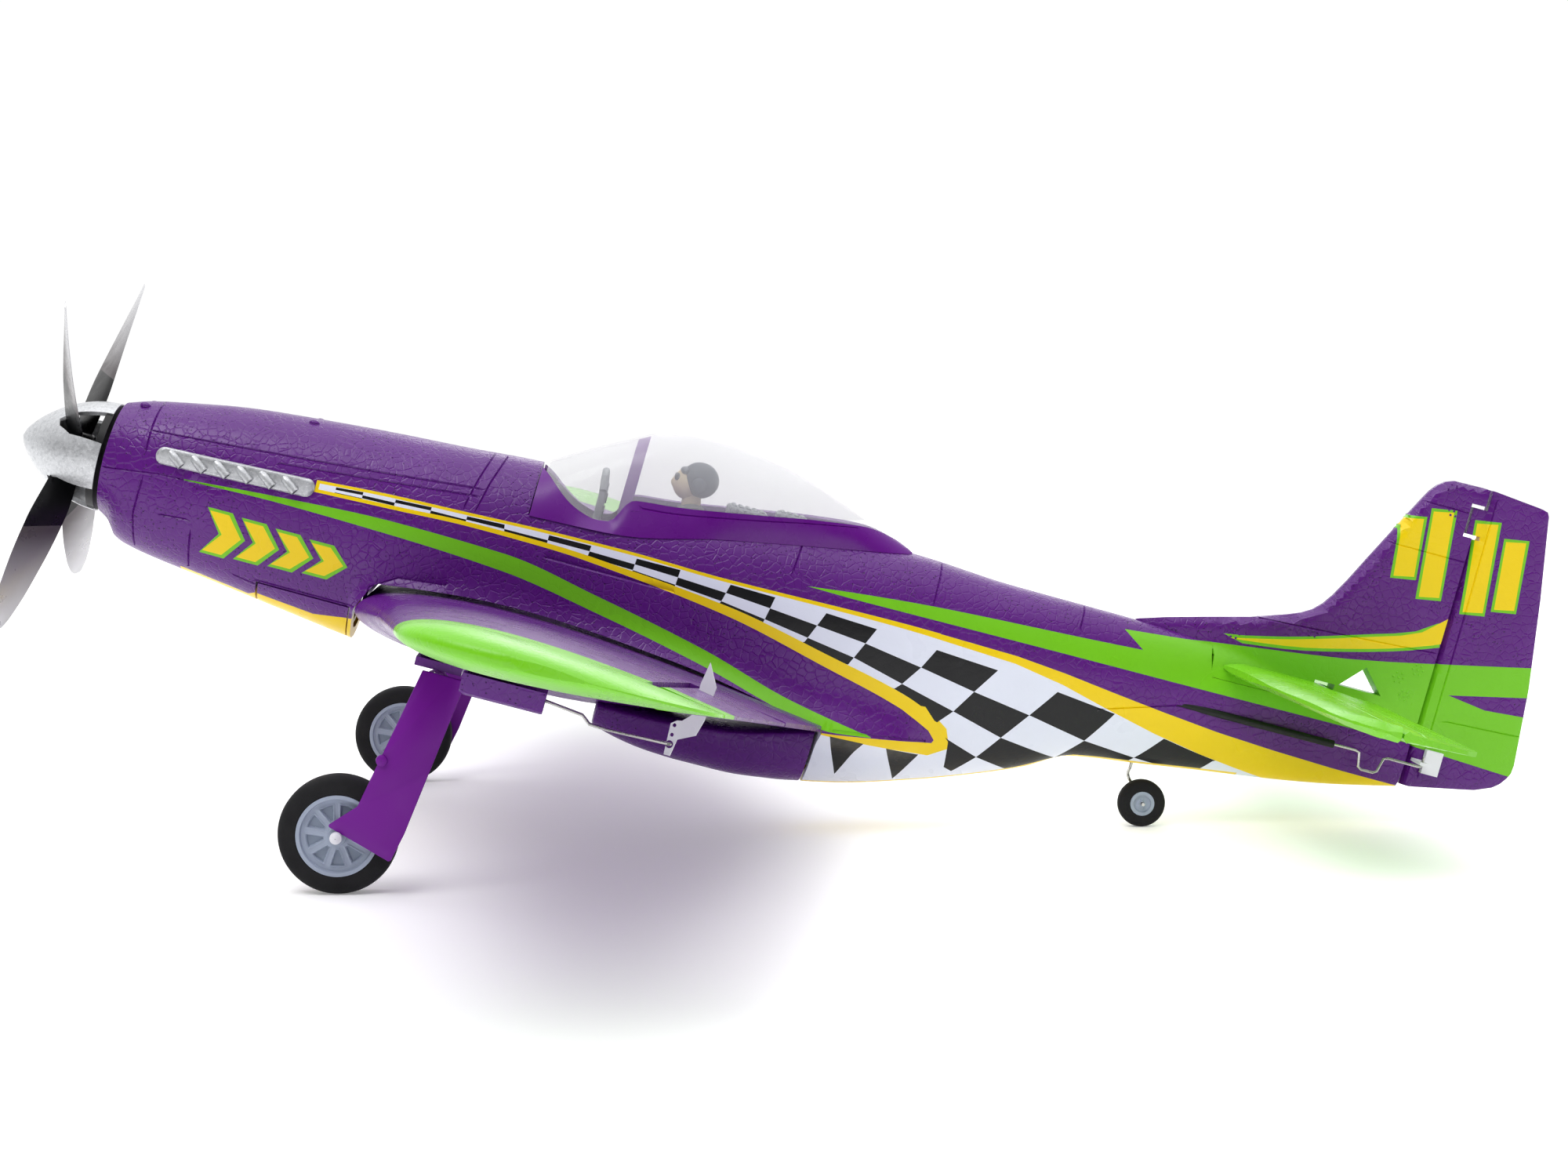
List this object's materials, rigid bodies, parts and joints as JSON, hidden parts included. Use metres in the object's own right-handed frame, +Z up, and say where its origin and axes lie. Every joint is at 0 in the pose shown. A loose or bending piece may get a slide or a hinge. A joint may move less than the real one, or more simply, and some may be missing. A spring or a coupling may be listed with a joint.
{
  "type": "model aeroplane",
  "caption": "Foam radio-control racing warbird on three wheels, with a turning propeller, moving ailerons, elevator and rudder, a clear canopy and a lift-off battery hatch.",
  "frame": {"origin": "centre of the bounding box's bottom face, on the ground under the aeroplane", "axes": "-X is forward, +Y towards the right wing tip, +Z up; the nose is tilted 14.8 degrees up because the model stands on its tail wheel"},
  "size_m": [0.4351, 0.4924, 0.1558],
  "materials": {
    "foam_purple": "satin",
    "foam_green": "satin",
    "plastic_purple": "satin",
    "spinner_silver": "satin",
    "prop_black": "satin",
    "black_plastic": "matte",
    "steel": "brushed",
    "alloy": "satin",
    "plywood": "matte",
    "clear": "clear",
    "white_plastic": "satin",
    "tyre_foam": "matte",
    "hub_grey": "satin",
    "panel_grey": "matte",
    "pilot_paint": "satin",
    "cell_blue": "gloss",
    "circuit": "satin",
    "exhaust_silver": "satin"
  },
  "bodies": {
    "airframe": {"fuselage_left": "foam_purple", "fuselage_right": "foam_purple", "fin": "foam_purple", "firewall": "plywood", "motor_stator": "alloy", "exhaust_left": "exhaust_silver", "exhaust_right": "exhaust_silver", "battery": "cell_blue", "receiver": "circuit", "canopy_frame": "plastic_purple", "canopy_glass": "clear", "cockpit_tub": "black_plastic", "instrument_panel": "panel_grey", "cockpit_boxes": "panel_grey", "pilot": "pilot_paint", "wing": "foam_purple", "belly_scoop": "foam_purple", "servo_fairing_left": "plastic_purple", "servo_fairing_right": "plastic_purple", "gear_plates": "white_plastic", "gear_leg_left": "steel", "gear_leg_right": "steel", "gear_door_left": "plastic_purple", "gear_door_right": "plastic_purple", "door_screws": "plastic_purple", "tail_bush": "black_plastic", "stabilizer": "foam_green", "guide_tubes": "black_plastic", "tail_servos": "black_plastic", "motor_screws": "steel"},
    "propeller": {"motor_bell": "alloy", "prop_shaft": "steel", "spinner_backplate": "black_plastic", "propeller": "prop_black", "spinner": "spinner_silver"},
    "battery_hatch": {"battery_hatch": "foam_purple", "hatch_magnets": "alloy"},
    "left_aileron": {"aileron_left": "foam_purple", "aileron_horn_left": "white_plastic"},
    "right_aileron": {"aileron_right": "foam_purple", "aileron_horn_right": "white_plastic"},
    "left_aileron_rod": {"aileron_rod_left": "steel"},
    "right_aileron_rod": {"aileron_rod_right": "steel"},
    "left_servo_carriage": {"servo_carriage_left": "white_plastic"},
    "right_servo_carriage": {"servo_carriage_right": "white_plastic"},
    "left_wheel": {"main_tyre_left": "tyre_foam", "main_hub_left": "hub_grey"},
    "right_wheel": {"main_tyre_right": "tyre_foam", "main_hub_right": "hub_grey"},
    "tail_steering": {"tail_leg": "steel"},
    "tail_wheel": {"tail_tyre": "tyre_foam", "tail_hub": "hub_grey"},
    "elevator": {"elevator": "foam_green", "elevator_horn": "white_plastic"},
    "elevator_rod": {"elevator_rod": "steel"},
    "rudder": {"rudder": "foam_green", "rudder_horn": "white_plastic"},
    "rudder_rod": {"rudder_rod": "steel"}
  },
  "joints": [
    {"name": "propeller_spin", "type": "hinge", "parent": "airframe", "child": "propeller", "pos_m": [-0.20287, 0, 0.10885], "axis": [0.9668, 0, -0.2554], "continuous": true},
    {"name": "left_aileron_hinge", "type": "hinge", "parent": "airframe", "child": "left_aileron", "pos_m": [-0.03253, -0.15, 0.05908], "axis": [0.1022, 0.9829, -0.1533], "range_deg": [-20, 20]},
    {"name": "right_aileron_hinge", "type": "hinge", "parent": "airframe", "child": "right_aileron", "pos_m": [-0.03253, 0.15, 0.05908], "axis": [-0.1022, 0.9829, 0.1533], "range_deg": [-20, 20]},
    {"name": "left_aileron_rod_hinge", "type": "hinge", "parent": "left_aileron", "child": "left_aileron_rod", "pos_m": [-0.03788, -0.15092, 0.04962], "axis": [0.1022, 0.9829, -0.1533], "range_deg": [-20, 20]},
    {"name": "right_aileron_rod_hinge", "type": "hinge", "parent": "right_aileron", "child": "right_aileron_rod", "pos_m": [-0.03788, 0.15092, 0.04962], "axis": [-0.1022, 0.9829, 0.1533], "range_deg": [-20, 20]},
    {"name": "left_servo_travel", "type": "slide", "parent": "airframe", "child": "left_servo_carriage", "axis": [0.9668, 0, -0.2554], "range_m": [-0.00363, 0.00363]},
    {"name": "right_servo_travel", "type": "slide", "parent": "airframe", "child": "right_servo_carriage", "axis": [0.9668, 0, -0.2554], "range_m": [-0.00363, 0.00363]},
    {"name": "left_wheel_spin", "type": "hinge", "parent": "airframe", "child": "left_wheel", "pos_m": [-0.1209, -0.079, 0.0152], "axis": [0, 1, 0], "continuous": true},
    {"name": "right_wheel_spin", "type": "hinge", "parent": "airframe", "child": "right_wheel", "pos_m": [-0.1209, 0.079, 0.0152], "axis": [0, 1, 0], "continuous": true},
    {"name": "rudder_hinge", "type": "hinge", "parent": "airframe", "child": "rudder", "pos_m": [0.18718, 0, 0.04665], "axis": [0.2554, 0, 0.9668], "range_deg": [-22, 22]},
    {"name": "rudder_rod_travel", "type": "slide", "parent": "airframe", "child": "rudder_rod", "axis": [0.9668, 0, -0.2554], "range_m": [-0.00337, 0.00337]},
    {"name": "tail_wheel_steer", "type": "hinge", "parent": "airframe", "child": "tail_steering", "pos_m": [0.09834, 0, 0.02358], "axis": [0.2554, 0, 0.9668], "range_deg": [-22, 22]},
    {"name": "tail_wheel_spin", "type": "hinge", "parent": "tail_steering", "child": "tail_wheel", "pos_m": [0.1001, 0, 0.0069], "axis": [0, 1, 0], "continuous": true},
    {"name": "elevator_hinge", "type": "hinge", "parent": "airframe", "child": "elevator", "pos_m": [0.15105, 0, 0.03986], "axis": [0, 1, 0], "range_deg": [-18, 18]},
    {"name": "elevator_rod_travel", "type": "slide", "parent": "airframe", "child": "elevator_rod", "axis": [0.9668, 0, -0.2554], "range_m": [-0.00278, 0.00278]},
    {"name": "battery_hatch_pull", "type": "slide", "parent": "airframe", "child": "battery_hatch", "axis": [-0.2554, 0, -0.9668], "range_m": [0, 0.03]}
  ],
  "couplings": [
    {"joint": "right_aileron_hinge", "follows": "left_aileron_hinge", "ratio": -1},
    {"joint": "left_aileron_rod_hinge", "follows": "left_aileron_hinge", "ratio": -1},
    {"joint": "right_aileron_rod_hinge", "follows": "left_aileron_hinge", "ratio": 1},
    {"joint": "left_servo_travel", "follows": "left_aileron_hinge", "m_per_rad": -0.010386},
    {"joint": "right_servo_travel", "follows": "left_aileron_hinge", "m_per_rad": 0.010386},
    {"joint": "rudder_rod_travel", "follows": "rudder_hinge", "m_per_rad": 0.00878},
    {"joint": "tail_wheel_steer", "follows": "rudder_hinge", "ratio": 1},
    {"joint": "elevator_rod_travel", "follows": "elevator_hinge", "m_per_rad": -0.008853}
  ]
}
